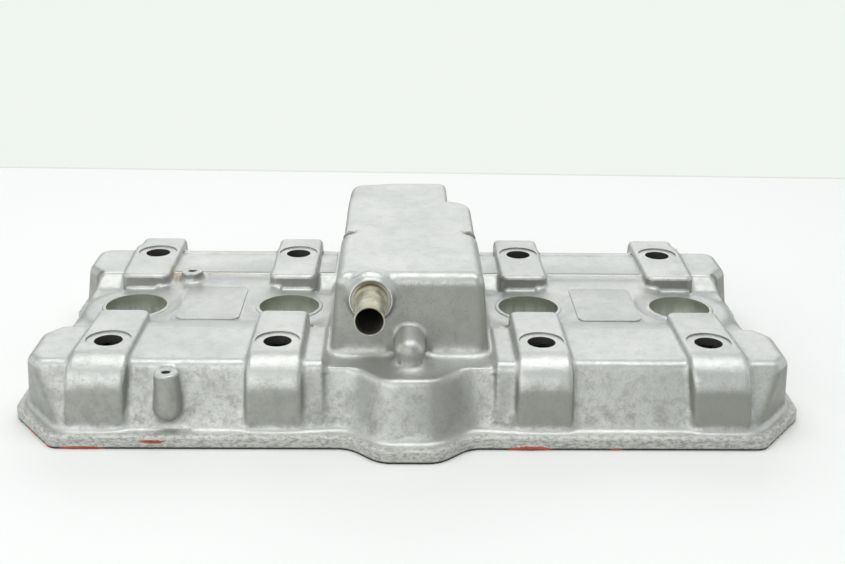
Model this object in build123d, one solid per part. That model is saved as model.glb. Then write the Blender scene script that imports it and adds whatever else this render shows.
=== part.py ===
"""Cast aluminium valve cover of a four-cylinder, double-overhead-cam engine.

Millimetres, +Z up. X runs along the camshafts, -Y is the breather spigot's side.
The origin lies on the machined joint face (z = 0), at the centre of the cover.
The cover is one die casting. A breather spigot is pressed into its breather chamber,
and a baffle plate, held by four screws, closes that chamber from below.
"""
import os

from build123d import *

os.makedirs("parts", exist_ok=True)

# ---- cylinder layout -------------------------------------------------------------------
PLUG_PITCH = 82.0  # between the two plug wells of one side
CENTRE_PITCH = 128.8  # between the two inner plug wells, across the cam chain
BOLT_SPAN = 130.6  # front bolt row to rear bolt row
INNER_X = CENTRE_PITCH / 2
OUTER_X = INNER_X + PLUG_PITCH
BOLT_Y = BOLT_SPAN / 2
CYLINDER_X = (-OUTER_X, -INNER_X, INNER_X, OUTER_X)

# ---- casting walls ---------------------------------------------------------------------
WALL = 3.2  # general wall
FLANGE_T = 7.0  # height of the joint flange
LIP = 5.6  # flange beyond the wall's foot

# ---- flange plan -----------------------------------------------------------------------
FLANGE_X = 195.0  # at the cam ends
WAIST_X = 186.5  # between the cam ends
FLANGE_Y = 97.4  # long sides
BULGE_Y = 111.5  # over the cam chain
BULGE_TIP = 14.0  # half width of the front bulge at its tip
BULGE_TIP_R = 14.0
BULGE_FOOT_R = 12.0
BULGE_FOOT = 29.0  # half width of the front bulge at its foot
REAR_TIP = 39.0  # the rear bulge is wider, under the breather box
REAR_FOOT = 53.0
CHAMFER_X = 170.0  # where the front corner's chamfer starts
CHAMFER_Y = 65.0  # where it ends
FRONT_EAR = 43.0  # the front cam end stops at this y
REAR_EAR = 60.0  # the rear cam end starts at this y
EAR_RUN = 14.0  # length of the step from a cam end to the waist

# ---- cam domes and the valley between them -----------------------------------------------
DOME_Z = 39.2  # top of both cam domes
DOME_X = 183.4  # end of a dome, at its top
DOME_WAIST = 174.0  # end of the valley, at dome height
DOME_Y = 81.6  # outer long edge of a dome, at its top
DOME_CORNER_X = 4.0  # the front corner is cut by this much in X, far less than its foot
DOME_CORNER_Y = 6.0
DOME_CORNER_R = 6.0
DOME_EDGE = 5.0  # radius along the outer top edges
SLOPE_TOP = 40.0  # the slope to the valley starts at this y
SLOPE_FOOT = 30.0  # and ends at this y
SLOPE_TOP_R = 3.0
SLOPE_FOOT_R = 5.0
VALLEY_Z = 32.2  # valley floor

# ---- saddle between the two plug wells of one side -----------------------------------------
SADDLE_Z = 36.5
SADDLE_FRONT = 24.0  # the flat runs from here
SADDLE_REAR = 34.5  # to here, and then climbs to the rear dome
SADDLE_HALF_X = 34.0
WELL_FOOT_R = 19.0  # round hollow about a plug well, at the valley floor
WELL_TOP_R = 24.0  # and at the saddle
PANEL_X = 33.4  # raised panel on the saddle
PANEL_Y = 46.5
PANEL_RISE = 0.7

# ---- plug wells ------------------------------------------------------------------------
PLUG_R = 16.0
PLUG_RIM_R = 18.2
PLUG_RIM_H = 1.0
TUBE_WALL = 3.2
SEAL_SEAT_R = 17.4  # counterbore for the well's seal, in the joint face
SEAL_SEAT_H = 4.0

# ---- bolt pads -------------------------------------------------------------------------
PAD_Z = 43.2
PAD_TOP_W = 26.0
PAD_FOOT_W = 28.0
PAD_FRONT = 92.0  # outer face, at the top
PAD_FOOT = 92.9  # outer face, at the flange
PAD_BACK = 25.4  # inner end, beside the plug well
PAD_NOSE = 18.0  # radius over the outer top edge
PAD_EDGE = 2.2  # radius of its other top edges
PAD_CORNER = 4.5  # upright corners of its inner end
PAD_SPLAY = 3.8  # shift of an outer pad's foot away from the centre
PAD_TOP_SPLAY = 0.6  # share of it that the top's outer edge takes
SPOT_R = 11.8
SPOT_DEPTH = 0.8
BOLT_R = 6.85
BOLT_RELIEF_R = 10.0  # hollow under the pad, round the bolt
BOLT_RELIEF_Z = 38.6

# ---- pockets sunk in the rear dome, between the pads ---------------------------------------
POCKET_DEPTH = 0.8
POCKET_FRONT = 41.0
POCKET_REAR = 75.0
POCKET_R = 4.0

# ---- strips beside the centre, front only --------------------------------------------------
STRIP_IN = 41.0
STRIP_OUT = 50.9
STRIP_RISE = 0.5  # above the dome
STRIP_FRONT = 84.6  # front face, at the top

# ---- centre: shoulder over the cam chain ----------------------------------------------------
SHOULDER_Z = 36.2
SHOULDER_Y = 82.4  # long edge, at its top
SHOULDER_TIP_Y = 97.0  # tip of the bulge, at its top
SHOULDER_REAR_Y = 99.0  # rear wall under the breather box, at its top
SHOULDER_TIP = 13.0
SHOULDER_FOOT = 26.5
SHOULDER_EDGE = 3.5
GROOVE_REAR = 20.0  # the dome is cut down to the shoulder as far back as this

# ---- breather box ----------------------------------------------------------------------
BOX_Z = 78.0
BOX_FOOT_Z = 30.0  # the walls run down into the shoulder
BOX_TOP_X = 34.2
BOX_FLARE = 3.9  # each wall leans out by this much down to the foot
BOX_FRONT = 66.8  # front edge, at the top
BOX_REAR = 93.5  # rear edge, at the top
NOTCH_X = 22.0  # right side of the narrow rear part
NOTCH_Y = 57.0  # where the wide part ends
NOTCH_R = 14.3  # round corner of the wide part
BOX_STEP = 1.2  # the soft-edged front is wider than the rear by this much a side
BOX_STEP_Y = 0.0  # the soft front edges change to crisp ones here
BOX_SOFT = 6.5  # edge radius in front of it
BOX_CRISP = 3.0  # edge radius behind it
BOX_CORNER = 4.5  # upright corners

# ---- breather spigot and its boss -----------------------------------------------------------
SPIGOT_X = -18.8
SPIGOT_Z = 66.0
SPIGOT_R = 7.05
SPIGOT_BORE_R = 6.35
SPIGOT_TIP = 97.5  # free end
SPIGOT_ROOT = 60.0  # end inside the chamber
COLLAR_R = 8.2
COLLAR_LENGTH = 6.0
PORT_BOSS_R = 14.4  # at its face; it narrows toward the box
PORT_BOSS_ROOT_R = 11.6
PORT_BOSS_Y = 71.8  # face of the ring
PORT_BOSS_EDGE = 3.4
PORT_DISH_R = 9.8
PORT_DISH = 3.4  # depth of the dish about the spigot

# ---- rounded lug on the box's front ----------------------------------------------------------
LUG_R = 7.4
LUG_Y = 80.0  # axis of its front
LUG_KNEE_Z = 43.5
LUG_RISE = 2.5  # its top climbs by this much back to the box

# ---- small threaded bosses -----------------------------------------------------------------
SMALL_TOP_R = 5.9
SMALL_HOLE_R = 2.1
SMALL_HOLE = 12.0
FRONT_BOSS = (-114.7, -88.8)
FRONT_BOSS_Z = 36.6
FRONT_BOSS_FOOT_Z = 18.5
SMALL_FOOT_R = 6.7
REAR_BOSS = (-121.6, 34.6)
REAR_BOSS_Z = 42.6
REAR_BOSS_FOOT_Z = 24.0

# ---- joint face ---------------------------------------------------------------------------
GROOVE_IN = 3.0  # gasket groove, from the flange's edge
GROOVE_W = 3.6
GROOVE_DEPTH = 2.0

# ---- baffle ---------------------------------------------------------------------------------
BAFFLE_T = 1.2
BAFFLE_LAP = 3.4  # the plate laps the chamber's rim by this much
BAFFLE_R = 6.0
DRAIN_R = 5.0
POST_R = 4.5
POST_H = 16.0
POSTS = ((-31.0, -48.0), (31.0, -48.0), (-31.0, 72.0), (19.0, 72.0))
SCREW_R = 2.0
SCREW_HEAD_R = 4.2
SCREW_HEAD_H = 2.6
SCREW_GRIP = 9.0  # thread in the post
SCREW_SOCKET_R = 1.5
SCREW_SOCKET = 1.4


def both_sides(right):
    """Close a plan given by its right half, front to rear, with the mirrored left half."""
    return right + [(-x, y, r) for x, y, r in reversed(right)]


def rounded_face(corners, z):
    """Flat face at height z with a radius at each (x, y, radius) corner."""
    face = make_face(Polyline(*[(x, y) for x, y, _ in corners], close=True)).face()
    for x, y, radius in corners:
        if radius:
            corner = face.vertices().sort_by_distance((x, y, 0))[0]
            face = face.fillet_2d(radius, [corner])
    return Pos(0, 0, z) * face


def tapered(low, low_z, high, high_z):
    """Solid ruled between two plans that have the same corners."""
    faces = [rounded_face(low, low_z), rounded_face(high, high_z)]
    return loft(faces, ruled=True)


def top_edges(solid):
    return solid.faces().sort_by(Axis.Z)[-1].edges()


def upright(x, y, radius, low_z, high_z, top_radius=None):
    """Round post or bore along Z, conical when top_radius is given."""
    height = high_z - low_z
    place = Pos(x, y, low_z + height / 2)
    if top_radius is None:
        return place * Cylinder(radius, height)
    return place * Cone(radius, top_radius, height)


def forward(x, z, radius, near_y, far_y):
    """Round bar along Y, between two y values."""
    length = abs(far_y - near_y)
    return Pos(x, (near_y + far_y) / 2, z) * Rot(90, 0, 0) * Cylinder(radius, length)


def bar(start, end, radius):
    """Round bar between two points."""
    run = Vector(*end) - Vector(*start)
    frame = Plane(origin=start, z_dir=run)
    return frame * Cylinder(radius, run.length, align=(Align.CENTER, Align.CENTER, Align.MIN))


# ---- plans -------------------------------------------------------------------------------
flange_plan = both_sides([
    (BULGE_TIP, -BULGE_Y, BULGE_TIP_R),
    (BULGE_FOOT, -FLANGE_Y, BULGE_FOOT_R),
    (CHAMFER_X, -FLANGE_Y, 8),
    (FLANGE_X, -CHAMFER_Y, 9),
    (FLANGE_X, -FRONT_EAR, 8),
    (WAIST_X, -FRONT_EAR + EAR_RUN, 10),
    (WAIST_X, REAR_EAR - EAR_RUN, 10),
    (FLANGE_X, REAR_EAR, 8),
    (FLANGE_X, FLANGE_Y, 12),
    (REAR_FOOT, FLANGE_Y, 8),
    (REAR_TIP, BULGE_Y, 8),
])


def foot_plan(inset):
    """Plan of the walls where they meet the flange."""
    return both_sides([
        (CHAMFER_X - LIP / 2 - inset / 2, -FLANGE_Y + LIP + inset, 8),
        (FLANGE_X - LIP - inset, -CHAMFER_Y + LIP / 2 + inset / 2, 8),
        (FLANGE_X - LIP - inset, -FRONT_EAR - inset / 2, 6),
        (WAIST_X - LIP - inset, -FRONT_EAR + EAR_RUN - inset / 2, 10),
        (WAIST_X - LIP - inset, REAR_EAR - EAR_RUN + inset / 2, 10),
        (FLANGE_X - LIP - inset, REAR_EAR + inset / 2, 6),
        (FLANGE_X - LIP - inset, FLANGE_Y - LIP - inset, 9),
    ])


def dome_plan(inset):
    """Plan of the walls at the height of the dome tops."""
    return both_sides([
        (DOME_X - DOME_CORNER_X - inset, -DOME_Y + inset, DOME_CORNER_R),
        (DOME_X - inset, -DOME_Y + DOME_CORNER_Y + inset, DOME_CORNER_R),
        (DOME_X - inset, -FRONT_EAR - 5 - inset / 2, 7),
        (DOME_WAIST - inset, -FRONT_EAR + 8 - inset / 2, 14),
        (DOME_WAIST - inset, REAR_EAR - 21 + inset / 2, 8),
        (DOME_X - inset, REAR_EAR - 8 + inset / 2, 7),
        (DOME_X - inset, DOME_Y - inset, 8),
    ])


def valley(drop):
    """The channel between the domes, sunk by drop below its real surface."""
    far = FLANGE_Y + 20
    sky = BOX_Z
    corners = [
        (-far, DOME_Z - drop, 0),
        (-SLOPE_TOP, DOME_Z - drop, SLOPE_TOP_R),
        (-SLOPE_FOOT, VALLEY_Z - drop, SLOPE_FOOT_R),
        (SLOPE_FOOT, VALLEY_Z - drop, SLOPE_FOOT_R),
        (SLOPE_TOP, DOME_Z - drop, SLOPE_TOP_R),
        (far, DOME_Z - drop, 0),
        (far, sky, 0),
        (-far, sky, 0),
    ]
    face = Plane.YZ * rounded_face(corners, 0)
    return extrude(face, FLANGE_X + 10, both=True)


def shoulder(inset, low_z):
    """Raised centre over the cam chain: a narrow bulge in front and a wide one behind."""
    side = STRIP_IN + 1 - inset
    foot = both_sides([
        (BULGE_TIP - 1 - inset / 2, -BULGE_Y + LIP + inset, BULGE_TIP_R - 1),
        (BULGE_FOOT - inset, -FLANGE_Y + LIP + inset, BULGE_FOOT_R),
        (side, -FLANGE_Y + LIP + inset, 0),
        (side, BULGE_Y - LIP - inset, 7),
    ])
    crown = both_sides([
        (SHOULDER_TIP - inset / 2, -SHOULDER_TIP_Y + inset, BULGE_TIP_R - 1),
        (SHOULDER_FOOT - inset, -SHOULDER_Y + inset, BULGE_FOOT_R),
        (side, -SHOULDER_Y + inset, 0),
        (side, SHOULDER_REAR_Y - inset, 7),
    ])
    return tapered(foot, low_z, crown, SHOULDER_Z - inset)


def main_walls(inset, low_z):
    """Both domes and the valley between them, cut down beside the centre in front."""
    body = tapered(foot_plan(inset), low_z, dome_plan(inset), DOME_Z - inset)
    if not inset:
        body = fillet(top_edges(body), DOME_EDGE)
    body -= valley(inset)
    half = STRIP_IN + inset
    depth = FLANGE_Y - GROOVE_REAR
    sky = BOX_Z - SHOULDER_Z
    centre_y = -(FLANGE_Y + GROOVE_REAR) / 2
    centre_z = SHOULDER_Z - inset + sky / 2
    return body - Pos(0, centre_y, centre_z) * Box(2 * half, depth + 2 * inset, sky)


def box_part(right, front, rear, corners, edge, inset):
    """One tapered block of the breather box, with all its top edges rounded.

    The left side, the right side and the rear lean in; the front leans in only where it
    is the box's own front. corners are the upright radii, from front left, turning right.
    """
    own_front = front == -BOX_FRONT
    front_flare = BOX_FLARE if own_front else 0
    left = -BOX_TOP_X - (BOX_STEP if own_front else 0) + inset
    right = right - inset
    rear = rear - inset
    front = front + (inset if front_flare else 0)
    low = [
        (left - BOX_FLARE, front - front_flare, corners[0]),
        (right + BOX_FLARE, front - front_flare, corners[1]),
        (right + BOX_FLARE, rear + BOX_FLARE, corners[2]),
        (left - BOX_FLARE, rear + BOX_FLARE, corners[3]),
    ]
    high = [
        (left, front, corners[0]),
        (right, front, corners[1]),
        (right, rear, corners[2]),
        (left, rear, corners[3]),
    ]
    body = tapered(low, BOX_FOOT_Z, high, BOX_Z - inset)
    return fillet(top_edges(body), edge)


def breather_box(inset):
    """Soft-edged front, crisp-edged rear, and the rear's step on the right."""
    soft = BOX_SOFT - inset
    crisp = BOX_CRISP - inset / 4
    corner = BOX_CORNER - inset / 4
    overlap = 2 * BOX_SOFT + 4
    start = BOX_STEP_Y - overlap
    front = box_part(BOX_TOP_X + BOX_STEP, -BOX_FRONT, overlap, (corner, corner, 0, 0), soft, inset)
    wide = box_part(BOX_TOP_X, start, NOTCH_Y, (0, 0, NOTCH_R, corner), crisp, inset)
    narrow = box_part(NOTCH_X, start, BOX_REAR, (0, 0, corner, corner), crisp, inset)
    front_half = Pos(0, BOX_STEP_Y - 100, BOX_Z) * Box(200, 200, 200)
    rear_half = Pos(0, BOX_STEP_Y + 100, BOX_Z) * Box(200, 200, 200)
    return (front & front_half) + ((wide + narrow) & rear_half)


def pad(x, side):
    """Bolt pad that runs over a dome; side is -1 in front and 1 behind.

    The foot of an outer pad splays away from the centre where it comes down the wall.
    """
    foot = PAD_FOOT_W / 2
    top = PAD_TOP_W / 2
    splay = PAD_SPLAY * x / OUTER_X if abs(x) == OUTER_X else 0
    left_splay = min(splay, 0) * PAD_TOP_SPLAY
    right_splay = max(splay, 0) * PAD_TOP_SPLAY
    low = [
        (x - foot, side * PAD_BACK, PAD_CORNER),
        (x + foot, side * PAD_BACK, PAD_CORNER),
        (x + foot + splay, side * PAD_FOOT, 0),
        (x - foot + splay, side * PAD_FOOT, 0),
    ]
    high = [
        (x - top, side * PAD_BACK, PAD_CORNER),
        (x + top, side * PAD_BACK, PAD_CORNER),
        (x + top + right_splay, side * PAD_FRONT, 0),
        (x - top + left_splay, side * PAD_FRONT, 0),
    ]
    body = tapered(low, FLANGE_T - 1, high, PAD_Z)
    nose = top_edges(body).sort_by_distance((x, side * PAD_FRONT, PAD_Z))[0]
    body = fillet(nose, PAD_NOSE)
    crest = body.faces().sort_by(Axis.Z)[-1]
    nose_line = crest.edges().sort_by_distance((x, side * (PAD_FRONT - PAD_NOSE), PAD_Z))[0]
    return fillet([edge for edge in crest.edges() if edge != nose_line], PAD_EDGE)


def strip(side):
    """Raised strip beside the centre, from the valley over the front edge to the flange."""
    middle = side * (STRIP_IN + STRIP_OUT) / 2
    half = (STRIP_OUT - STRIP_IN) / 2
    low = [
        (middle - half, -SLOPE_TOP, 0),
        (middle - half, -FLANGE_Y + LIP - 0.6, 0),
        (middle + half, -FLANGE_Y + LIP - 0.6, 0),
        (middle + half, -SLOPE_TOP, 0),
    ]
    high = [
        (middle - half, -SLOPE_TOP, 0),
        (middle - half, -STRIP_FRONT, 0),
        (middle + half, -STRIP_FRONT, 0),
        (middle + half, -SLOPE_TOP, 0),
    ]
    body = tapered(low, FLANGE_T - 1, high, DOME_Z + STRIP_RISE)
    nose = top_edges(body).sort_by(Axis.Y)[0]
    return fillet(nose, DOME_EDGE)


def saddle(middle):
    """Raised bridge between two plug wells, hollowed round each well, with a raised panel."""
    top = DOME_Z
    profile = Polyline(
        (-SLOPE_TOP, FLANGE_T + 20),
        (-SLOPE_TOP, top),
        (-SADDLE_FRONT, SADDLE_Z),
        (SADDLE_REAR, SADDLE_Z),
        (SLOPE_TOP, top),
        (SLOPE_TOP, FLANGE_T + 20),
        close=True,
    )
    body = Pos(middle, 0, 0) * extrude(Plane.YZ * make_face(profile), SADDLE_HALF_X, both=True)
    spread = (WELL_TOP_R - WELL_FOOT_R) / (SADDLE_Z - VALLEY_Z)
    sky = DOME_Z + 2
    wide = WELL_FOOT_R + spread * (sky - VALLEY_Z)
    for x in (middle - PLUG_PITCH / 2, middle + PLUG_PITCH / 2):
        body -= upright(x, 0, WELL_FOOT_R, VALLEY_Z, sky, wide)
        body -= upright(x, 0, WELL_FOOT_R, 0, VALLEY_Z + 0.1)
    panel = extrude(RectangleRounded(PANEL_X, PANEL_Y, 4), PANEL_RISE + 1)
    panel = fillet(top_edges(panel), PANEL_RISE / 2)
    return body + Pos(middle, 0, SADDLE_Z - 1) * panel


def pocket(side, inner_x, outer_x):
    """Shallow pocket in the rear dome's top; side is -1 left and 1 right."""
    width = outer_x - inner_x
    depth = POCKET_REAR - POCKET_FRONT
    middle_x = side * (inner_x + outer_x) / 2
    face = Pos(middle_x, (POCKET_FRONT + POCKET_REAR) / 2, DOME_Z - POCKET_DEPTH)
    return extrude(face * RectangleRounded(width, depth, POCKET_R), 3)


# ---- the casting, outside ------------------------------------------------------------------
wall_foot = FLANGE_T - 1
half_pad = PAD_TOP_W / 2
saddle_x = (INNER_X + OUTER_X) / 2
outside = main_walls(0, wall_foot) + [saddle(-saddle_x), saddle(saddle_x)]
pockets = []
for side in (-1, 1):
    pockets.append(pocket(side, STRIP_IN + 1, INNER_X - half_pad + POCKET_R))
    pockets.append(pocket(side, INNER_X + half_pad - POCKET_R, OUTER_X - half_pad + POCKET_R))
outside -= pockets

crown = shoulder(0, wall_foot)
crown = fillet([e for e in top_edges(crown) if abs(e.center().X) < STRIP_IN], SHOULDER_EDGE)
flange = extrude(rounded_face(flange_plan, 0), FLANGE_T)
port_run = PORT_BOSS_Y - SPIGOT_ROOT
port = Rot(90, 0, 0) * Cone(PORT_BOSS_ROOT_R, PORT_BOSS_R, port_run)
port = Pos(SPIGOT_X, -SPIGOT_ROOT - port_run / 2, SPIGOT_Z) * port
port = fillet(port.edges().sort_by(Axis.Y)[0], PORT_BOSS_EDGE)
outside += [crown, flange, breather_box(0), port]

knee = (0, -LUG_Y, LUG_KNEE_Z)
lug_root = (0, -BOX_FRONT, LUG_KNEE_Z + LUG_RISE)
lug = upright(0, -LUG_Y, LUG_R, SHOULDER_Z - 4, LUG_KNEE_Z)
lug += [Pos(*knee) * Sphere(LUG_R), bar(knee, lug_root, LUG_R)]
bosses = []
for (x, y), top, foot in (
    (FRONT_BOSS, FRONT_BOSS_Z, FRONT_BOSS_FOOT_Z),
    (REAR_BOSS, REAR_BOSS_Z, REAR_BOSS_FOOT_Z),
):
    bosses.append(upright(x, y, SMALL_FOOT_R, foot, top, SMALL_TOP_R))
fx, fy = FRONT_BOSS
bosses.append(Pos(fx, fy, FRONT_BOSS_FOOT_Z) * Sphere(SMALL_FOOT_R))
rims = [upright(x, 0, PLUG_RIM_R, VALLEY_Z - 1, VALLEY_Z + PLUG_RIM_H) for x in CYLINDER_X]
pads = [pad(x, side) for x in CYLINDER_X for side in (-1, 1)]
outside += [lug, strip(-1), strip(1)] + bosses + rims + pads

# ---- the casting, inside -------------------------------------------------------------------
inside = main_walls(WALL, -1) + [shoulder(WALL, -1), breather_box(WALL)]
rx, ry = REAR_BOSS
baffle_z = SHOULDER_Z - WALL
cores = [upright(rx, ry, SMALL_FOOT_R, REAR_BOSS_FOOT_Z, REAR_BOSS_Z, SMALL_TOP_R)]
for x in CYLINDER_X:
    cores.append(upright(x, 0, PLUG_R + TUBE_WALL, -1, VALLEY_Z))
for x, y in POSTS:
    cores.append(upright(x, y, POST_R, baffle_z, baffle_z + POST_H))
inside -= cores
cover = outside - inside

# ---- machining -----------------------------------------------------------------------------
cuts = []
for x in CYLINDER_X:
    cuts.append(upright(x, 0, PLUG_R, -1, PAD_Z))
    cuts.append(upright(x, 0, SEAL_SEAT_R, -1, SEAL_SEAT_H))
    for side in (-1, 1):
        cuts.append(upright(x, side * BOLT_Y, BOLT_R, 0, PAD_Z + 1))
        cuts.append(upright(x, side * BOLT_Y, BOLT_RELIEF_R, 20, BOLT_RELIEF_Z))
        cuts.append(upright(x, side * BOLT_Y, SPOT_R, PAD_Z - SPOT_DEPTH, PAD_Z + 1))
for (x, y), top in ((FRONT_BOSS, FRONT_BOSS_Z), (REAR_BOSS, REAR_BOSS_Z)):
    cuts.append(upright(x, y, SMALL_HOLE_R, top - SMALL_HOLE, top + 1))
for x, y in POSTS:
    cuts.append(upright(x, y, SCREW_R, baffle_z - 1, baffle_z + SCREW_GRIP + 1))
dish_floor = PORT_BOSS_Y - PORT_DISH
cuts.append(forward(SPIGOT_X, SPIGOT_Z, PORT_DISH_R, -PORT_BOSS_Y - 1, -dish_floor))
cuts.append(forward(SPIGOT_X, SPIGOT_Z, SPIGOT_R, -dish_floor - 1, -SPIGOT_ROOT))
groove_outer = offset(rounded_face(flange_plan, 0), -GROOVE_IN)
groove_inner = offset(rounded_face(flange_plan, 0), -GROOVE_IN - GROOVE_W)
cuts.append(extrude(groove_outer - groove_inner, GROOVE_DEPTH))
cover -= cuts
export_step(cover, "parts/valve_cover.step")

# ---- breather spigot: a turned steel tube pressed into the port ----------------------------
profile = Polyline(
    (SPIGOT_BORE_R, -SPIGOT_ROOT),
    (SPIGOT_R, -SPIGOT_ROOT),
    (SPIGOT_R, -dish_floor),
    (COLLAR_R, -dish_floor),
    (COLLAR_R, -dish_floor - COLLAR_LENGTH + 1),
    (SPIGOT_R, -dish_floor - COLLAR_LENGTH),
    (SPIGOT_R, -SPIGOT_TIP),
    (SPIGOT_BORE_R, -SPIGOT_TIP),
    close=True,
)
spigot = Pos(SPIGOT_X, 0, SPIGOT_Z) * revolve(make_face(profile), Axis.Y)
export_step(spigot, "parts/breather_spigot.step")

# ---- baffle plate and its screws -------------------------------------------------------------
left = -BOX_TOP_X - BAFFLE_LAP
right = BOX_TOP_X + BAFFLE_LAP
front = -BOX_FRONT - BAFFLE_LAP
rear = BOX_REAR
step_x = NOTCH_X + BAFFLE_LAP + BAFFLE_R / 2
step_y = NOTCH_Y + BAFFLE_LAP
plate_plan = [
    (left, front, BAFFLE_R),
    (right, front, BAFFLE_R),
    (right, step_y, BAFFLE_R),
    (step_x, step_y + right - step_x, BAFFLE_R),
    (step_x, rear, BAFFLE_R),
    (left, rear, BAFFLE_R),
]
baffle = extrude(rounded_face(plate_plan, baffle_z - BAFFLE_T), BAFFLE_T)
for x, y in POSTS:
    baffle -= upright(x, y, SCREW_R, baffle_z - 5, baffle_z + 5)
for x, y in ((0, POSTS[0][1]), (-10.0, POSTS[2][1])):
    baffle -= upright(x, y, DRAIN_R, baffle_z - 5, baffle_z + 5)
export_step(baffle, "parts/breather_baffle.step")

screws = []
head_top = baffle_z - BAFFLE_T
for x, y in POSTS:
    screw = upright(x, y, SCREW_R, head_top - 1, baffle_z + SCREW_GRIP)
    screw += upright(x, y, SCREW_HEAD_R, head_top - SCREW_HEAD_H, head_top)
    screw -= upright(x, y, SCREW_SOCKET_R, head_top - SCREW_HEAD_H - 1, head_top - SCREW_HEAD_H + SCREW_SOCKET)
    screws.append(screw)
export_step(Compound(children=screws), "parts/baffle_screws.step")
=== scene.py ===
"""Cast valve cover of a twin-cam engine, lying on its joint face on a pale table.

Blender works in metres, +Z up, in the same frame as the solids. Places and sizes on the
cover are written in millimetres and turned into metres by MM; lamps and table are in metres.
The visible casting is a softened skin drawn over the solid cover and machined again; the
spigot, baffle and screws are the solids themselves. Dried sealant clings to the flange.
"""

import bmesh
import bpy
import numpy as np
from mathutils import Matrix, Vector


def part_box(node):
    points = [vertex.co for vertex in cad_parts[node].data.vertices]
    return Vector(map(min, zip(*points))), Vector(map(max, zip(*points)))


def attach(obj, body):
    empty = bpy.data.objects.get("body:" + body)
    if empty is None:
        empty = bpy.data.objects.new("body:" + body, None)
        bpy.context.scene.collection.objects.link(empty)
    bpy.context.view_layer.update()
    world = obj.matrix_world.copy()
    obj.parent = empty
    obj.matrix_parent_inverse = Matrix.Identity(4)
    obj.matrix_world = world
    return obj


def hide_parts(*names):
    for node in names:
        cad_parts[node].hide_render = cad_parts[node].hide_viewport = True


MM = 0.001
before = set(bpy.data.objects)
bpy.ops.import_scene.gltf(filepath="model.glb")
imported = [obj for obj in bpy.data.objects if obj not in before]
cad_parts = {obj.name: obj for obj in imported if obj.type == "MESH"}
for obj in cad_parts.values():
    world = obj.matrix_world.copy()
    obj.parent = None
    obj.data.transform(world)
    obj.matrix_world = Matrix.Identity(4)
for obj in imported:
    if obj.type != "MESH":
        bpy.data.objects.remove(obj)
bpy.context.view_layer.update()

# ---- places and sizes of the cover, in millimetres -------------------------------------------
PLUG_PITCH = 82.0
INNER_X = 64.4
OUTER_X = INNER_X + PLUG_PITCH
ROWS = (-OUTER_X, -INNER_X, INNER_X, OUTER_X)
BOLT_Y = 65.3
BOLTS = [(x, y) for x in ROWS for y in (-BOLT_Y, BOLT_Y)]
PLUGS = [(x, 0.0) for x in ROWS]
SMALL_HOLES = [(-114.7, -88.8, 36.6), (-121.6, 34.6, 42.6)]  # x, y and top of each tapped boss
PORT = (-18.8, 0.0, 66.0)  # the spigot's axis runs along Y through this point

SADDLE_Z = 36.5
DOME_Z = 39.2
PAD_Z = 43.2
PAD_INNER_Y = 25.4  # inner end of every pad, beside its well
BOX_HALF_X = 47.0  # reaches past the box and the fillet at its foot
BOLT_R, SPOT_R, SPOT_Z = 6.85, 11.0, 42.4  # bolt hole, its spotface and that face's height
WELL_R, WELL_FOOT_R, WELL_FOOT_Z = 16.0, 17.4, 4.0
RIM_R, RIM_Z = 18.2, 35.2  # raised rim round each well
GROUND_R, GROUND_Z = 27.5, 34.6  # ground raised about each well

# Turned shapes as (radius, height) from the bottom up: what is drilled, and what fills it first.
BOLT_DRILL = [(BOLT_R, 34.0), (BOLT_R, SPOT_Z), (SPOT_R, SPOT_Z), (SPOT_R, 46.0)]
BOLT_FILL = [(12.3, 38.7), (12.3, 42.5), (10.8, PAD_Z)]
PLUG_DRILL = [(WELL_FOOT_R, -1.0), (WELL_FOOT_R, WELL_FOOT_Z), (WELL_R, WELL_FOOT_Z), (WELL_R, 40.0)]
PLUG_FILL = [(17.6, 0.0), (17.6, 4.2), (16.9, 4.3), (16.9, 31.5), (GROUND_R, 31.5), (GROUND_R, GROUND_Z)]
HOLE_DRILL = [(2.1, -12.0), (2.1, -0.5), (3.0, 0.4)]
HOLE_FILL = [(2.9, -12.6), (2.9, 0.0)]
PORT_DRILL = [(7.05, 60.0), (7.05, 69.6), (8.5, 69.6), (9.2, 69.9), (9.8, 70.7), (10.1, 71.8), (10.2, 76.0)]
PORT_FILL = [(7.9, 59.2), (7.9, 66.0), (12.0, 66.0), (12.0, 71.4), (10.5, 71.7)]
PORT_SHRINK = 1.9  # the boss about the spigot is cast this much slimmer at its face
WELL_RIM = [(RIM_R, 30.5), (RIM_R, 34.6), (17.9, 35.0), (17.4, RIM_Z), (15.0, RIM_Z)]

# Flat plates laid on the skin or cut into it: half sizes, corner, and levels as (inset, z).
PANEL_AT = INNER_X + PLUG_PITCH / 2
PANEL_X, PANEL_Y, PANEL_CORNER = 16.7, 23.25, 4.0
PANEL_LEVELS = [(0.0, 35.0), (0.0, 36.85), (0.12, 37.08), (0.4, 37.2)]
TAIL_X, TAIL_Y, TAIL_CORNER, TAIL_AT = 13.0, 15.9, 3.0, 76.0  # far ends of the rear pads
TAIL_LEVELS = [(-0.35, 30.0), (0.0, 40.4), (0.25, 41.6), (0.9, 42.6), (2.2, PAD_Z)]
POCKET_X = [(42.0, 51.2), (77.6, 133.2)]  # from x to x, on both sides
POCKET_Y = (41.0, 75.0)
POCKET_CORNER = 1.5
POCKET_LEVELS = [(0.4, 38.4), (0.1, 38.5), (0.0, 38.7), (-0.1, 39.0), (-0.5, 39.22), (-0.5, 40.4)]

# The box's soft front corners end in a small step, this deep, fading forward over this run.
STEP_DEPTH, STEP_RUN = 2.0, 7.0

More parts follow.
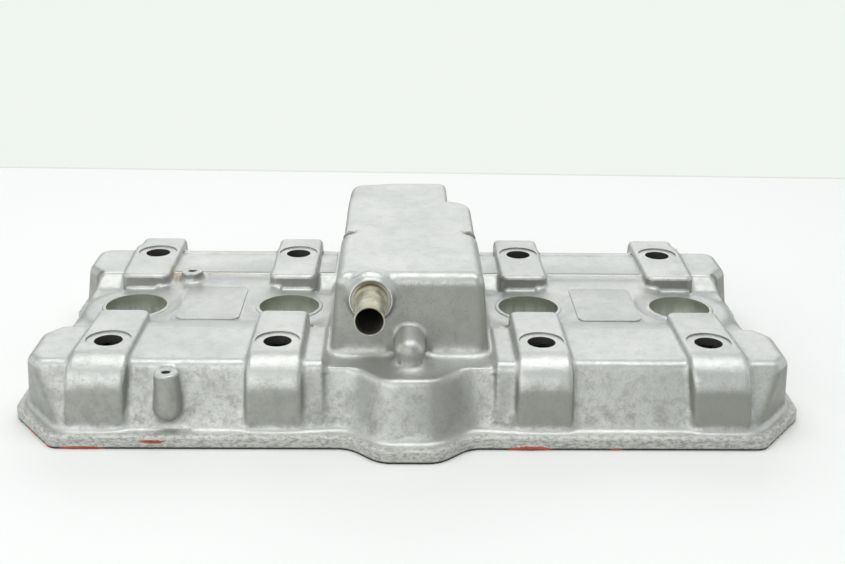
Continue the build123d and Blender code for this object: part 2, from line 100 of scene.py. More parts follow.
# Beads of sealant along the joint: x, y, z, length and height.
SEALANT = [
    (-154.5, -97.4, 0.4, 13.0, 1.5),
    (-121.5, -97.4, 4.2, 7.5, 1.1),
    (57.0, -97.4, 0.6, 12.5, 2.0),
    (98.5, -97.4, 0.4, 4.0, 0.9),
    (-183.5, -82.0, 0.5, 14.5, 1.0),
    (-172.0, -95.5, 0.4, 4.0, 0.8),
]

VOXEL = 0.8
SKIN_TRIANGLES = 174000  # of the skin before it is machined
JOINT_FACE = 0.5  # what ends up lower than this is pressed flat onto the joint face
SHARP_ANGLE = 48  # degrees between faces, above which an edge stays crisp

# ---- view ------------------------------------------------------------------------------------
EYE = np.array([-4.97, -617.8, 278.6]) * MM
PITCH = np.radians(20.367)  # the lens looks down by this much
YAW = np.radians(1.124)  # and this much to the right of +Y
ROLL = np.radians(0.705)
FOCAL_PX = 1230.0
IMAGE_W = 845.0
SENSOR = 36.0


def place_camera():
    """Camera at EYE; its axes are right, up and backward, turned by yaw, pitch and roll."""
    cp, sp = np.cos(PITCH), np.sin(PITCH)
    cy, sy = np.cos(YAW), np.sin(YAW)
    forward = np.array([sy * cp, cy * cp, -sp])
    right = np.array([cy, -sy, 0.0])
    up = np.cross(right, forward)
    turned_right = right * np.cos(ROLL) + up * np.sin(ROLL)
    turned_up = up * np.cos(ROLL) - right * np.sin(ROLL)
    pose = np.eye(4)
    pose[:3, 0], pose[:3, 1], pose[:3, 2], pose[:3, 3] = turned_right, turned_up, -forward, EYE
    data = bpy.data.cameras.new("camera")
    data.sensor_width = SENSOR
    data.sensor_fit = "HORIZONTAL"
    data.lens = FOCAL_PX / IMAGE_W * SENSOR
    data.clip_start, data.clip_end = 0.01, 50.0
    camera = bpy.data.objects.new("camera", data)
    camera.matrix_world = Matrix(pose.tolist())
    bpy.context.collection.objects.link(camera)
    bpy.context.scene.camera = camera
    bpy.context.scene.view_settings.view_transform = "Standard"


# ---- small helpers for materials -------------------------------------------------------------
def new_material(name, metallic, roughness):
    material = bpy.data.materials.new(name)
    material.use_nodes = True
    tree = material.node_tree
    shader = tree.nodes["Principled BSDF"]
    shader.inputs["Metallic"].default_value = metallic
    shader.inputs["Roughness"].default_value = roughness
    return material, tree, shader


def node(tree, kind, **inputs):
    """Node of a kind; each input is a value or a socket to link."""
    made = tree.nodes.new(kind)
    for key, value in inputs.items():
        fill(tree, made.inputs[key.replace("_", " ")], value)
    return made


def fill(tree, socket, value):
    if isinstance(value, bpy.types.NodeSocket):
        tree.links.new(value, socket)
    else:
        socket.default_value = value


def coords(tree):
    return node(tree, "ShaderNodeTexCoord").outputs["Object"]


def axis_values(tree, at):
    split = node(tree, "ShaderNodeSeparateXYZ", Vector=at)
    return split.outputs[0], split.outputs[1], split.outputs[2]


def facing_up(tree):
    """1 on level ground, 0 on an upright wall, from the surface's own normal."""
    normal = tree.nodes.new("ShaderNodeNewGeometry").outputs["Normal"]
    return axis_values(tree, normal)[2]


def maths(tree, operation, a, b=0.0, clamp=False):
    made = tree.nodes.new("ShaderNodeMath")
    made.operation = operation
    made.use_clamp = clamp
    fill(tree, made.inputs[0], a)
    fill(tree, made.inputs[1], b)
    return made.outputs[0]


def times(tree, first, *others):
    for other in others:
        first = maths(tree, "MULTIPLY", first, other)
    return first


def most(tree, first, *others):
    for other in others:
        first = maths(tree, "MAXIMUM", first, other)
    return first


def distance(tree, a, b=(0.0, 0.0, 0.0)):
    made = tree.nodes.new("ShaderNodeVectorMath")
    made.operation = "DISTANCE"
    fill(tree, made.inputs[0], a)
    fill(tree, made.inputs[1], b)
    return made.outputs["Value"]


def noise(tree, where, scale, detail=3.0, rough=0.5, stretch=None):
    if stretch:
        where = node(tree, "ShaderNodeMapping", Vector=where, Scale=stretch).outputs[0]
    made = node(tree, "ShaderNodeTexNoise", Vector=where, Scale=scale, Detail=detail, Roughness=rough)
    return made.outputs["Fac"]


def span(tree, value, low, high, to_low=0.0, to_high=1.0):
    """Value mapped from low..high to to_low..to_high, smoothly and clamped."""
    made = tree.nodes.new("ShaderNodeMapRange")
    made.interpolation_type = "SMOOTHSTEP"
    fill(tree, made.inputs["Value"], value)
    made.inputs["From Min"].default_value = low
    made.inputs["From Max"].default_value = high
    made.inputs["To Min"].default_value = to_low
    made.inputs["To Max"].default_value = to_high
    return made.outputs[0]


def ramp(tree, place, start, end, to_start=0.0, to_end=1.0):
    """A coordinate mapped from start..end, in millimetres, to to_start..to_end."""
    return span(tree, place, start * MM, end * MM, to_start, to_end)


def blend(tree, amount, base, over):
    made = tree.nodes.new("ShaderNodeMix")
    made.data_type = "RGBA"
    fill(tree, made.inputs[0], amount)
    fill(tree, made.inputs[6], base)
    fill(tree, made.inputs[7], over)
    return made.outputs[2]


def relief(tree, height, depth, below=None):
    made = node(tree, "ShaderNodeBump", Height=height, Distance=depth, Strength=1.0)
    if below is not None:
        tree.links.new(below, made.inputs["Normal"])
    return made.outputs[0]


def patch(tree, at, centre, radii):
    """1 at the centre of an ellipsoid and 0 outside it; centre and radii in millimetres."""
    moved = node(tree, "ShaderNodeMapping", Vector=at)
    moved.vector_type = "TEXTURE"
    moved.inputs["Location"].default_value = [c * MM for c in centre]
    moved.inputs["Scale"].default_value = [r * MM for r in radii]
    return maths(tree, "SUBTRACT", 1.0, distance(tree, moved.outputs[0]), clamp=True)


def within(tree, x, y, centres, radius):
    """1 nearer than the radius (millimetres) to any of the axes across x and y, 0 outside."""
    flat = node(tree, "ShaderNodeCombineXYZ", X=x, Y=y, Z=0.0).outputs[0]
    inside = 0.0
    for centre_x, centre_y in centres:
        away = distance(tree, flat, (centre_x * MM, centre_y * MM, 0.0))
        inside = most(tree, inside, ramp(tree, away, radius + 0.1, radius - 0.1))
    return inside


# ---- finish of the casting -------------------------------------------------------------------
CAST_METALLIC = 0.78
MID_METAL = (0.56, 0.575, 0.555, 1)
PALE_METAL = (0.67, 0.68, 0.66, 1)
STREAK_METAL = (0.80, 0.81, 0.79, 1)
BLOTCH = (0.44, 0.45, 0.43, 1)
WALL_SHADE = (0.28, 0.29, 0.26, 1)
SHADE = (0.30, 0.31, 0.29, 1)
BLOTCHED_WALL = (0.30, 0.30, 0.275, 1)
PIT = (0.16, 0.16, 0.15, 1)
FINE_GRAIN = (0.36, 0.37, 0.35, 1)
TOP_SPECK = (0.30, 0.30, 0.28, 1)
RUST = (0.47, 0.37, 0.24, 1)
HOLE_SHADE = (0.05, 0.05, 0.045, 1)
SCUFF_DARK = (0.33, 0.33, 0.31, 1)
SCUFF_PALE = (0.72, 0.72, 0.69, 1)
JOINT_BLACK = (0.035, 0.033, 0.03, 1)
WELL_LOW = (0.86, 0.88, 0.82, 1)
WELL_RIM_SHADE = (0.38, 0.41, 0.34, 1)
WELL_STREAK = (0.40, 0.42, 0.36, 1)
DISH_LOW = (0.86, 0.86, 0.82, 1)
DISH_SHADOW = (0.34, 0.32, 0.27, 1)
CORNER_SHADE = (0.16, 0.16, 0.14, 1)
LIP_HIGHLIGHT = (0.98, 0.98, 0.97, 1)
CLOT_DARK = (0.26, 0.05, 0.03, 1)
CLOT_RED = (0.50, 0.11, 0.06, 1)

# Centre and radii of patches: painted shade on the bulge, the lug and the box's steps; rust-stained washes.
BULGE_SHADE = ((23, -100, 24), (34, 22, 29))
LUG_SHADE = ((0, -87, 43), (9, 6, 9))
WASHES = [((-128, 38, 38), (13, 9, 9)), ((-103, 41, 39), (24, 4, 5))]
BOX_STEPS = [((side * 32, -0.6, 74.5), (7, 1.3, 6)) for side in (1, -1)]


class Spot:
    """What the layers of the cast finish share: place, slope and coarse noises."""

    def __init__(self, tree):
        self.at = coords(tree)
        self.x, self.y, self.z = axis_values(tree, self.at)
        self.upward = facing_up(tree)
        self.standing = span(tree, self.upward, 0.75, 0.25)
        self.cloud = noise(tree, self.at, 26.0, 6.0, 0.68)
        self.blotch = noise(tree, self.at, 150.0, 6.0, 0.78)
        self.pits = noise(tree, self.at, 800.0, 4.0, 0.8)


def bare_metal(tree, spot):
    """Clouded grey metal with darker blotches and pale streaks."""
    brushed = noise(tree, spot.at, 60.0, 4.0, 0.7, (1.0, 9.0, 1.0))
    colour = blend(tree, span(tree, spot.cloud, 0.3, 0.7), MID_METAL, PALE_METAL)
    colour = blend(tree, span(tree, spot.blotch, 0.5, 0.72, 0.0, 0.30), colour, BLOTCH)
    return blend(tree, span(tree, brushed, 0.55, 0.8, 0.0, 0.22), colour, STREAK_METAL)


def shaded(tree, spot, colour):
    """Painted shade: darker upright walls, most on the right; darker bulge, lug and valley floor."""
    upright = times(tree, span(tree, spot.upward, 0.36, 0.06), ramp(tree, spot.x, -120, 170, 0.70, 0.98))
    colour = blend(tree, upright, colour, WALL_SHADE)
    bulge = patch(tree, spot.at, *BULGE_SHADE)
    colour = blend(tree, span(tree, bulge, 0.0, 0.6, 0.0, 0.66), colour, SHADE)
    lug = patch(tree, spot.at, *LUG_SHADE)
    colour = blend(tree, span(tree, lug, 0.0, 0.5, 0.0, 0.6), colour, SHADE)
    floor = times(tree, ramp(tree, spot.z, 38.6, 37.2), span(tree, spot.upward, 0.8, 0.95), 0.16)
    return blend(tree, floor, colour, SHADE)


def blotched_and_specked(tree, spot, colour):
    """Standing walls darkened in blotches, most low down; dark pits, fine grain and specks on the tops."""
    low_down = ramp(tree, spot.z, 40, 8, 0.0, 0.4)
    # Standing walls darkened in blotches, more toward the bottom.
    wall_blotch = times(tree, spot.standing, span(tree, spot.blotch, 0.40, 0.66))
    wall_blotch = times(tree, wall_blotch, maths(tree, "ADD", 0.35, low_down))
    colour = blend(tree, wall_blotch, colour, BLOTCHED_WALL)
    zone = times(tree, spot.standing, span(tree, spot.cloud, 0.38, 0.56, 0.15, 0.95))
    specks = times(tree, span(tree, spot.pits, 0.56, 0.66), zone)
    colour = blend(tree, times(tree, specks, 0.36), colour, PIT)
    fine = noise(tree, spot.at, 950.0, 3.0, 0.7)
    colour = blend(tree, span(tree, fine, 0.38, 0.66, 0.0, 0.16), colour, FINE_GRAIN)
    colour = blend(tree, span(tree, spot.pits, 0.64, 0.72, 0.0, 0.35), colour, TOP_SPECK)
    return colour, wall_blotch, specks


def rust_washed(tree, spot, colour):
    """Rust-brown wash behind the left rear pad and its small boss."""
    wash = most(tree, *[patch(tree, spot.at, *place) for place in WASHES])
    wash = times(tree, span(tree, wash, 0.0, 0.7), span(tree, spot.blotch, 0.3, 0.6, 0.35, 0.9), 0.75)
    return blend(tree, wash, colour, RUST)


def scuffed_flange(tree, spot, colour):
    """The flange's edge: darker, scuffed, with a black line at the joint."""
    edge = ramp(tree, spot.z, 7.8, 6.6)
    scuff = noise(tree, spot.at, 620.0, 5.0, 0.8, (0.55, 0.55, 1.3))
    rim = blend(tree, span(tree, scuff, 0.38, 0.56), SCUFF_DARK, SCUFF_PALE)
    colour = blend(tree, times(tree, edge, 0.68), colour, rim)
    joint = times(tree, ramp(tree, spot.z, 1.7, 0.6), span(tree, scuff, 0.25, 0.5, 0.55, 1.0))
    return blend(tree, joint, colour, JOINT_BLACK), edge, scuff


def bored(tree, spot, colour):
    """Plug well walls darker toward the top as painted shade under the rim, paler low down and streaked up
    and down; bolt and small holes painted black as painted shade.
    """
    streak = noise(tree, spot.at, 210.0, 4.0, 0.7, (1.0, 1.0, 0.08))
    # Painted shade: each well's wall is darker toward the top, under its rim, and paler low down.
    wall = blend(tree, ramp(tree, spot.z, 24, 34), WELL_LOW, WELL_RIM_SHADE)
    wall = blend(tree, span(tree, streak, 0.42, 0.66, 0.0, 0.5), wall, WELL_STREAK)
    colour = blend(tree, within(tree, spot.x, spot.y, PLUGS, WELL_R + 0.15), colour, wall)
    # Painted shade: bolt holes and small holes are painted nearly black inside.
    bolt = within(tree, spot.x, spot.y, BOLTS, BOLT_R + 0.15)
    holes = times(tree, bolt, ramp(tree, spot.z, SPOT_Z + 0.2, SPOT_Z - 0.4))
    for hole_x, hole_y, top in SMALL_HOLES:
        bore = within(tree, spot.x, spot.y, [(hole_x, hole_y)], 2.2)
        below_top = ramp(tree, spot.z, top - 0.3, top - 0.7)
        above_foot = ramp(tree, spot.z, top - 11, top - 10)
        holes = most(tree, holes, times(tree, bore, below_top, above_foot))
    return blend(tree, holes, colour, HOLE_SHADE), holes


def dished_port(tree, spot, colour):
    """The turned dish that the spigot's collar sits in: painted shadow at its top, pale below."""
    dish = within(tree, spot.x, spot.z, [(PORT[0], PORT[2])], 10.3)
    dish = times(tree, dish, ramp(tree, spot.y, -66, -68))
    return blend(tree, dish, colour, blend(tree, ramp(tree, spot.z, 70, 76), DISH_LOW, DISH_SHADOW)), dish


def shaded_corners(tree, spot, colour):
    """Painted shade in the pockets' front corners and on the box's side steps; a painted highlight on the
    lip ahead.
    """
    front = POCKET_Y[0]
    # Painted shade in the pockets' front corners and on the box's side steps.
    pocket = times(tree, ramp(tree, spot.y, front + 4.2, front + 2.8), ramp(tree, spot.z, 39.0, 38.6))
    pocket = times(tree, pocket, ramp(tree, spot.y, front - 0.6, front - 0.2))
    step = span(tree, most(tree, *[patch(tree, spot.at, *place) for place in BOX_STEPS]), 0.1, 0.4)
    corner_shade = most(tree, times(tree, pocket, 0.8), times(tree, step, 0.75))
    colour = blend(tree, corner_shade, colour, CORNER_SHADE)
    # Painted highlight along each pocket's front lip.
    lip = times(tree, ramp(tree, spot.y, front - 1.5, front - 0.9), ramp(tree, spot.y, front, front - 0.4))
    lip = times(tree, lip, ramp(tree, spot.z, 38.3, 38.8), ramp(tree, spot.z, 40.0, 39.6), 0.9)
    return blend(tree, lip, colour, LIP_HIGHLIGHT), corner_shade


def sealed(tree, spot, colour):
    """Red sealant squeezed out at the joint and scraped off raggedly."""
    ragged = noise(tree, spot.at, 520.0, 5.0, 0.8, (0.35, 0.35, 1.2))
    bead = 0.0
    for bead_x, bead_y, bead_z, long, tall in SEALANT:
        stain = patch(tree, spot.at, (bead_x, bead_y, bead_z), (1.25 * long, 7.0, 1.35 * tall))
        bead = most(tree, bead, stain)
    red = span(tree, maths(tree, "ADD", bead, times(tree, ragged, 1.5)), 1.06, 1.16)
    return blend(tree, red, colour, blend(tree, span(tree, ragged, 0.4, 0.6), CLOT_DARK, CLOT_RED)), red


def cast_finish():
    """Blasted die-cast aluminium: grain, pits, handling marks, blotched walls, rust tint, old sealant;
    painted shade on walls, in holes, wells, the dish and corners; a painted highlight on the pockets' lips.
    """
    material, tree, shader = new_material("cast_aluminium", CAST_METALLIC, 0.45)
    spot = Spot(tree)
    colour = shaded(tree, spot, bare_metal(tree, spot))
    colour, wall_blotch, specks = blotched_and_specked(tree, spot, colour)
    colour = rust_washed(tree, spot, colour)
    colour, edge, scuff = scuffed_flange(tree, spot, colour)
    colour, holes = bored(tree, spot, colour)
    colour, dish = dished_port(tree, spot, colour)
    colour, corner_shade = shaded_corners(tree, spot, colour)
    colour, red = sealed(tree, spot, colour)
    tree.links.new(colour, shader.inputs["Base Color"])

    # Sealant and the painted shade in holes, corners and the dish are made less metallic.
    dull = most(tree, red, holes, corner_shade, times(tree, dish, 0.6))
    metallic = times(tree, maths(tree, "SUBTRACT", 1.0, dull), CAST_METALLIC)
    metallic = maths(tree, "SUBTRACT", metallic, times(tree, wall_blotch, 0.5), clamp=True)
    tree.links.new(metallic, shader.inputs["Metallic"])
    rough = span(tree, spot.blotch, 0.35, 0.7, 0.36, 0.50)
    rough = maths(tree, "ADD", rough, times(tree, most(tree, wall_blotch, edge), 0.18), clamp=True)
    tree.links.new(rough, shader.inputs["Roughness"])

    grain = noise(tree, spot.at, 1500.0, 2.0, 0.6)
    bump = relief(tree, spot.cloud, 0.5 * MM)
    bump = relief(tree, spot.blotch, 0.22 * MM, bump)
    bump = relief(tree, times(tree, scuff, edge), 0.4 * MM, bump)
    bump = relief(tree, specks, 0.06 * MM, bump)
    tree.links.new(relief(tree, grain, 0.05 * MM, bump), shader.inputs["Normal"])
    return material


# ---- finishes of the steel pieces ------------------------------------------------------------
PLATED_METALLIC = 0.85
ZINC_YELLOW = (0.36, 0.33, 0.21, 1)
ZINC_PALE = (0.62, 0.61, 0.52, 1)
ROOT_BROWN = (0.33, 0.27, 0.14, 1)
MOUTH_DARK = (0.20, 0.19, 0.14, 1)
FLECK = (0.20, 0.17, 0.11, 1)
TUBE_INSIDE_BLACK = (0.03, 0.028, 0.024, 1)
BAFFLE_BRIGHT = (0.60, 0.60, 0.57, 1)
BAFFLE_DULL = (0.46, 0.45, 0.41, 1)
SCREW_BRIGHT = (0.48, 0.48, 0.46, 1)
SCREW_DULL = (0.33, 0.32, 0.30, 1)
OIL_SPECK = (0.16, 0.14, 0.11, 1)


def plated_finish():
    """Faded yellow zinc on steel: pale bloom, brown at the root, painted nearly black inside the bore."""
    material, tree, shader = new_material("plated_tube", PLATED_METALLIC, 0.34)
    at = coords(tree)
    x, y, z = axis_values(tree, at)
    bloom = noise(tree, at, 140.0, 5.0, 0.65)
    fleck = noise(tree, at, 900.0, 3.0, 0.7)
    turning = noise(tree, at, 300.0, 2.0, 0.5, (0.02, 3.0, 0.02))
    colour = blend(tree, span(tree, bloom, 0.35, 0.65), ZINC_YELLOW, ZINC_PALE)
    root = times(tree, ramp(tree, y, -77, -70), span(tree, bloom, 0.3, 0.6, 0.3, 0.9))
    colour = blend(tree, root, colour, ROOT_BROWN)
    colour = blend(tree, ramp(tree, y, -103.5, -105, 0.0, 0.6), colour, MOUTH_DARK)
    colour = blend(tree, span(tree, fleck, 0.6, 0.7, 0.0, 0.5), colour, FLECK)
    axis = node(tree, "ShaderNodeCombineXYZ", X=x, Y=0.0, Z=z)
    away = distance(tree, axis.outputs[0], [value * MM for value in PORT])
    # The inside of the tube's bore is painted nearly black.
    tube_inside = ramp(tree, away, 6.72, 6.55)
    colour = blend(tree, times(tree, tube_inside, 0.93), colour, TUBE_INSIDE_BLACK)
    tree.links.new(colour, shader.inputs["Base Color"])
    metallic = maths(tree, "SUBTRACT", PLATED_METALLIC, times(tree, tube_inside, 0.8))
    tree.links.new(metallic, shader.inputs["Metallic"])
    rough = maths(tree, "ADD", span(tree, bloom, 0.35, 0.65, 0.28, 0.45), times(tree, tube_inside, 0.35))
    tree.links.new(rough, shader.inputs["Roughness"])
    bump = relief(tree, turning, 0.04 * MM, relief(tree, fleck, 0.03 * MM))
    tree.links.new(bump, shader.inputs["Normal"])
    return material


def sheet_finish(name, bright, dull, roughness):
    """Zinc-plated steel gone dull with oil: clouding, fine scratches, dark specks."""
    material, tree, shader = new_material(name, 0.9, roughness)
    at = coords(tree)
    haze = noise(tree, at, 70.0, 5.0, 0.65)
    speck = noise(tree, at, 700.0, 3.0, 0.7)
    scratch = noise(tree, at, 120.0, 3.0, 0.6, (1.0, 14.0, 1.0))
    colour = blend(tree, span(tree, haze, 0.35, 0.65), dull, bright)
    colour = blend(tree, span(tree, speck, 0.62, 0.7, 0.0, 0.5), colour, OIL_SPECK)
    tree.links.new(colour, shader.inputs["Base Color"])
    rough = span(tree, haze, 0.3, 0.7, roughness - 0.08, roughness + 0.12)
    tree.links.new(rough, shader.inputs["Roughness"])
    bump = relief(tree, scratch, 0.03 * MM, relief(tree, speck, 0.03 * MM))
    tree.links.new(bump, shader.inputs["Normal"])
    return material


def dress(obj, material):
    obj.data.materials.clear()
    obj.data.materials.append(material)


# ---- light and table, in metres --------------------------------------------------------------
TABLE_END = (-0.347, 0.407, 0.374, 0.390)  # two points of its far edge: x, y, x, y
TABLE_REACH = 4.0  # to either side and toward the front
EDGE_WIDTH = 0.0045  # grey strip along the table's far edge
TABLE_WHITE = (0.90, 0.91, 0.90, 1)
EDGE_GREY = (0.74, 0.75, 0.72, 1)
ROOM_COLOUR, ROOM_STRENGTH = (0.95, 1.0, 0.97, 1), 0.34
CARD_COLOUR = (0.872, 0.915, 0.867, 1)
LAMPS = [  # name, place, target, width, height and watts
    ("overhead", (0.0, -0.1, 1.45), (0, 0, 0), 1.7, 0.9, 11.5),
    ("rear_wall", (-0.05, 1.5, 0.95), (0, 0, 0.2), 2.2, 1.2, 9.3),
    ("near_side", (-0.63, -1.6, 0.85), (0, 0, 0), 2.4, 1.1, 12.8),
    ("left_side", (-1.5, -0.1, 0.65), (0, 0, 0.02), 1.6, 1.0, 4.0),
    ("right_side", (1.5, 0.2, 0.65), (0, 0, 0.02), 1.8, 1.0, 3.5),
]


def soft_lamp(name, place, target, width, height, watts):
    data = bpy.data.lights.new(name, "AREA")
    data.shape = "RECTANGLE"
    data.size, data.size_y = width, height
    data.energy = watts
    lamp = bpy.data.objects.new(name, data)
    lamp.location = place
    lamp.rotation_euler = (Vector(target) - Vector(place)).to_track_quat("-Z", "Y").to_euler()
    bpy.context.collection.objects.link(lamp)


def light_up():
    """Soft boxes above, behind, in front and at both sides, in a dim room with a pale card."""
    world = bpy.data.worlds.new("studio")
    bpy.context.scene.world = world
    world.use_nodes = True
    tree = world.node_tree
    tree.nodes.clear()
    seen = tree.nodes.new("ShaderNodeLightPath").outputs["Is Camera Ray"]
    room = node(tree, "ShaderNodeBackground", Color=ROOM_COLOUR, Strength=ROOM_STRENGTH)
    card = node(tree, "ShaderNodeBackground", Color=CARD_COLOUR, Strength=1.0)
    both = node(tree, "ShaderNodeMixShader")
    tree.links.new(seen, both.inputs[0])
    tree.links.new(room.outputs[0], both.inputs[1])
    tree.links.new(card.outputs[0], both.inputs[2])
    out = tree.nodes.new("ShaderNodeOutputWorld")
    tree.links.new(both.outputs[0], out.inputs[0])
    for lamp in LAMPS:
        soft_lamp(*lamp)


def lay_table():
    """Pale table whose far edge, with a grey strip along it, shows behind the part."""
    x0, y0, x1, y1 = TABLE_END
    slope = (y1 - y0) / (x1 - x0)
    left, right = -TABLE_REACH, TABLE_REACH
    far_left, far_right = [y0 + slope * (x - x0) for x in (left, right)]
    lay("table", (-TABLE_REACH, -TABLE_REACH), (far_left, far_right), TABLE_WHITE)
    lay("table_edge", (far_left, far_right), (far_left + EDGE_WIDTH, far_right + EDGE_WIDTH), EDGE_GREY)


def lay(name, near, far, colour):
    """Matt sheet from the near to the far line, each given by its y at the left and right."""
    left, right = -TABLE_REACH, TABLE_REACH
    corners = [(left, near[0], 0), (right, near[1], 0), (right, far[1], 0), (left, far[0], 0)]
    mesh = bpy.data.meshes.new(name)
    mesh.from_pydata(corners, [], [(0, 1, 2, 3)])
    obj = place_mesh(name, mesh)
    material, _, shader = new_material(name + "_top", 0.0, 0.55)
    shader.inputs["Base Color"].default_value = colour
    dress(obj, material)


# ---- shells that fill, cut or stand on the skin ----------------------------------------------
def stacked(rings):
    """Closed shell through rings of points, each above the last, with a cap at both ends."""
    levels, sides, _ = rings.shape
    here = np.arange(sides)
    after = (here + 1) % sides
    layer = np.arange(levels - 1)[:, None] * sides
    corners = [layer + here, layer + after, layer + after + sides, layer + here + sides]
    quads = np.stack(corners, 2).reshape(-1, 4).tolist()
    caps = [here[::-1].tolist(), (here + (levels - 1) * sides).tolist()]
    return rings.reshape(-1, 3), quads + caps


def turned(profile, centre, toward_front=False, sides=72):
    """Solid of revolution: (r cos a, r sin a, h) for each (r, h) of the profile and angle a."""
    angle = np.linspace(0, 2 * np.pi, sides, endpoint=False)
    radius, height = np.array(profile).T
    wheel = np.stack([np.cos(angle), np.sin(angle)], 1)
    ring = radius[:, None, None] * wheel[None]
    lift = np.broadcast_to(height[:, None, None], ring.shape[:2] + (1,))
    rings = np.concatenate([ring, lift], 2)
    if toward_front:
        rings = np.stack([rings[..., 0], -rings[..., 2], rings[..., 1]], 2)
    return stacked(rings + np.array(centre))


def plate(centre, half_x, half_y, corner, levels):
    """Rounded rectangle at each (inset, z): corner centre + (corner - inset)(cos a, sin a).

    A tiny turn puts the first point of each quarter past the axis, on that quarter's side.
    """
    angle = np.radians(np.arange(0, 360, 10) + np.repeat([0.0, 1e-3, 2e-3, 3e-3], 9))
    sign_x = np.where((angle < np.pi / 2) | (angle > 1.5 * np.pi), 1, -1)
    sign_y = np.where(angle < np.pi, 1, -1)
    rings = []
    for inset, z in levels:
        x = centre[0] + sign_x * (half_x - corner) + (corner - inset) * np.cos(angle)
        y = centre[1] + sign_y * (half_y - corner) + (corner - inset) * np.sin(angle)
        rings.append(np.stack([x, y, np.full(len(angle), z)], 1))
    return stacked(np.array(rings))


def machined(bolt, plug, hole, port):
    """All drilled shapes of the cover, or all that fill them."""
    shells = [turned(bolt, (x, y, 0)) for x, y in BOLTS]
    shells += [turned(plug, (x, y, 0), sides=128) for x, y in PLUGS]
    shells += [turned(hole, place, sides=32) for place in SMALL_HOLES]
    shells.append(turned(port, PORT, toward_front=True))
    return shells


def pad_tails():
    """Blocks that keep the rear pads at their full height nearly to the rear wall."""
    return [plate((x, TAIL_AT), TAIL_X, TAIL_Y, TAIL_CORNER, TAIL_LEVELS) for x in ROWS]


def raised():
    """What stands crisply proud of the soft casting: a rim round each well, the two panels."""
    shells = [turned(WELL_RIM, (x, y, 0), sides=128) for x, y in PLUGS]
    for side in (-1, 1):
        shells.append(plate((side * PANEL_AT, 0), PANEL_X, PANEL_Y, PANEL_CORNER, PANEL_LEVELS))
    return shells


def pockets():
    """Shallow pockets in the rear dome, each between two pads or beside the centre."""
    shells = []
    half_y = (POCKET_Y[1] - POCKET_Y[0]) / 2
    for side in (-1, 1):
        for inner, outer in POCKET_X:
            centre = (side * (inner + outer) / 2, (POCKET_Y[0] + POCKET_Y[1]) / 2)
            shells.append(plate(centre, (outer - inner) / 2, half_y, POCKET_CORNER, POCKET_LEVELS))
    return shells


# ---- mesh helpers ----------------------------------------------------------------------------
def as_mesh(name, shells):
    points, faces, start = [], [], 0
    for some_points, some_faces in shells:
        points.append(some_points)
        faces += [[corner + start for corner in face] for face in some_faces]
        start += len(some_points)
    mesh = bpy.data.meshes.new(name)
    mesh.from_pydata((np.concatenate(points) * MM).tolist(), [], faces)
    return mesh


def place_mesh(name, mesh):
    obj = bpy.data.objects.new(name, mesh)
    bpy.context.collection.objects.link(obj)
    return obj


def apply_modifiers(obj):
    graph = bpy.context.evaluated_depsgraph_get()
    baked = bpy.data.meshes.new_from_object(obj.evaluated_get(graph))
    obj.modifiers.clear()
    obj.data = baked


def combine(skin, operation, shells):
    """Adds the shells to the skin, or cuts them out of it."""
    tool = place_mesh("tool", as_mesh("tool", shells))
    joined = skin.modifiers.new("joined", "BOOLEAN")
    joined.operation, joined.solver, joined.object = operation, "MANIFOLD", tool
    apply_modifiers(skin)
    bpy.data.objects.remove(tool)


def read_mesh(mesh):
    points = np.empty(len(mesh.vertices) * 3)
    mesh.vertices.foreach_get("co", points)
    edges = np.empty(len(mesh.edges) * 2, dtype=np.int64)
    mesh.edges.foreach_get("vertices", edges)
    return points.reshape(-1, 3), edges.reshape(-1, 2)


def write_points(mesh, points):
    mesh.vertices.foreach_set("co", points.ravel())
    mesh.update()


def read_normals(mesh):
    normals = np.empty(len(mesh.vertices) * 3)
    mesh.vertex_normals.foreach_get("vector", normals)
    return normals.reshape(-1, 3)


def rise(value, low, high):
    """0 below low, 1 above high, and 3t^2 - 2t^3 between."""
    t = np.clip((value - low) / (high - low), 0, 1)
    return t * t * (3 - 2 * t)


# ---- where the skin is softened, as a share from 0 to 1 for each point -----------------------
def on_lug(x, y, z):
    return (np.abs(x) < 10) & (y < -64) & (z > 38) & (z < 62)


def on_pad_end(x, y, z):
    """The upright inner end of any pad, beside its plug well."""
    from_pad = np.abs(np.abs(x) - PANEL_AT) - PLUG_PITCH / 2
    return (np.abs(from_pad) < 15.5) & (np.abs(np.abs(y) - PAD_INNER_Y) < 4) & (z > 31)


def hold(points):
    """How freely each point may move: little by the machined rims, fully elsewhere."""
    x, y, z = (points / MM).T
    free = np.ones(len(points))
    rims = [(bolt_x, bolt_y, SPOT_R + 3, 40.5, 0.4) for bolt_x, bolt_y in BOLTS]
    rims += [(plug_x, plug_y, WELL_R + 4, 31.0, 0.3) for plug_x, plug_y in PLUGS]
    rims += [(hole_x, hole_y, 9.0, top - 24, 0.3) for hole_x, hole_y, top in SMALL_HOLES]
    for rim_x, rim_y, reach, foot, share in rims:
        near = (np.hypot(x - rim_x, y - rim_y) < reach) & (z > foot)
        free = np.where(near, share, free)
    port = (np.hypot(x - PORT[0], z - PORT[2]) < 17) & (y < -66)
    return np.where(port | on_lug(x, y, z) | on_pad_end(x, y, z), 0.15, free)


def around_box(points):
    """The foot of the box, where it stands on its shoulder."""
    x, y, z = (points / MM).T
    level = rise(z, 33, 35.5) * (1 - rise(z, 42, 48))
    return level * (np.abs(x) < BOX_HALF_X) * (y < 30) * ~on_lug(x, y, z)


def flared(points):
    """Where a wide fillet runs: at the foot of the walls, and round the box on its shoulder."""
    x, y, z = (points / MM).T
    foot = rise(z, 4.5, 7.5) * (1 - rise(z, 12, 18))
    front_boss = np.hypot(x - SMALL_HOLES[0][0], y - SMALL_HOLES[0][1]) < 10
    return np.maximum(foot, around_box(points)) * ~front_boss


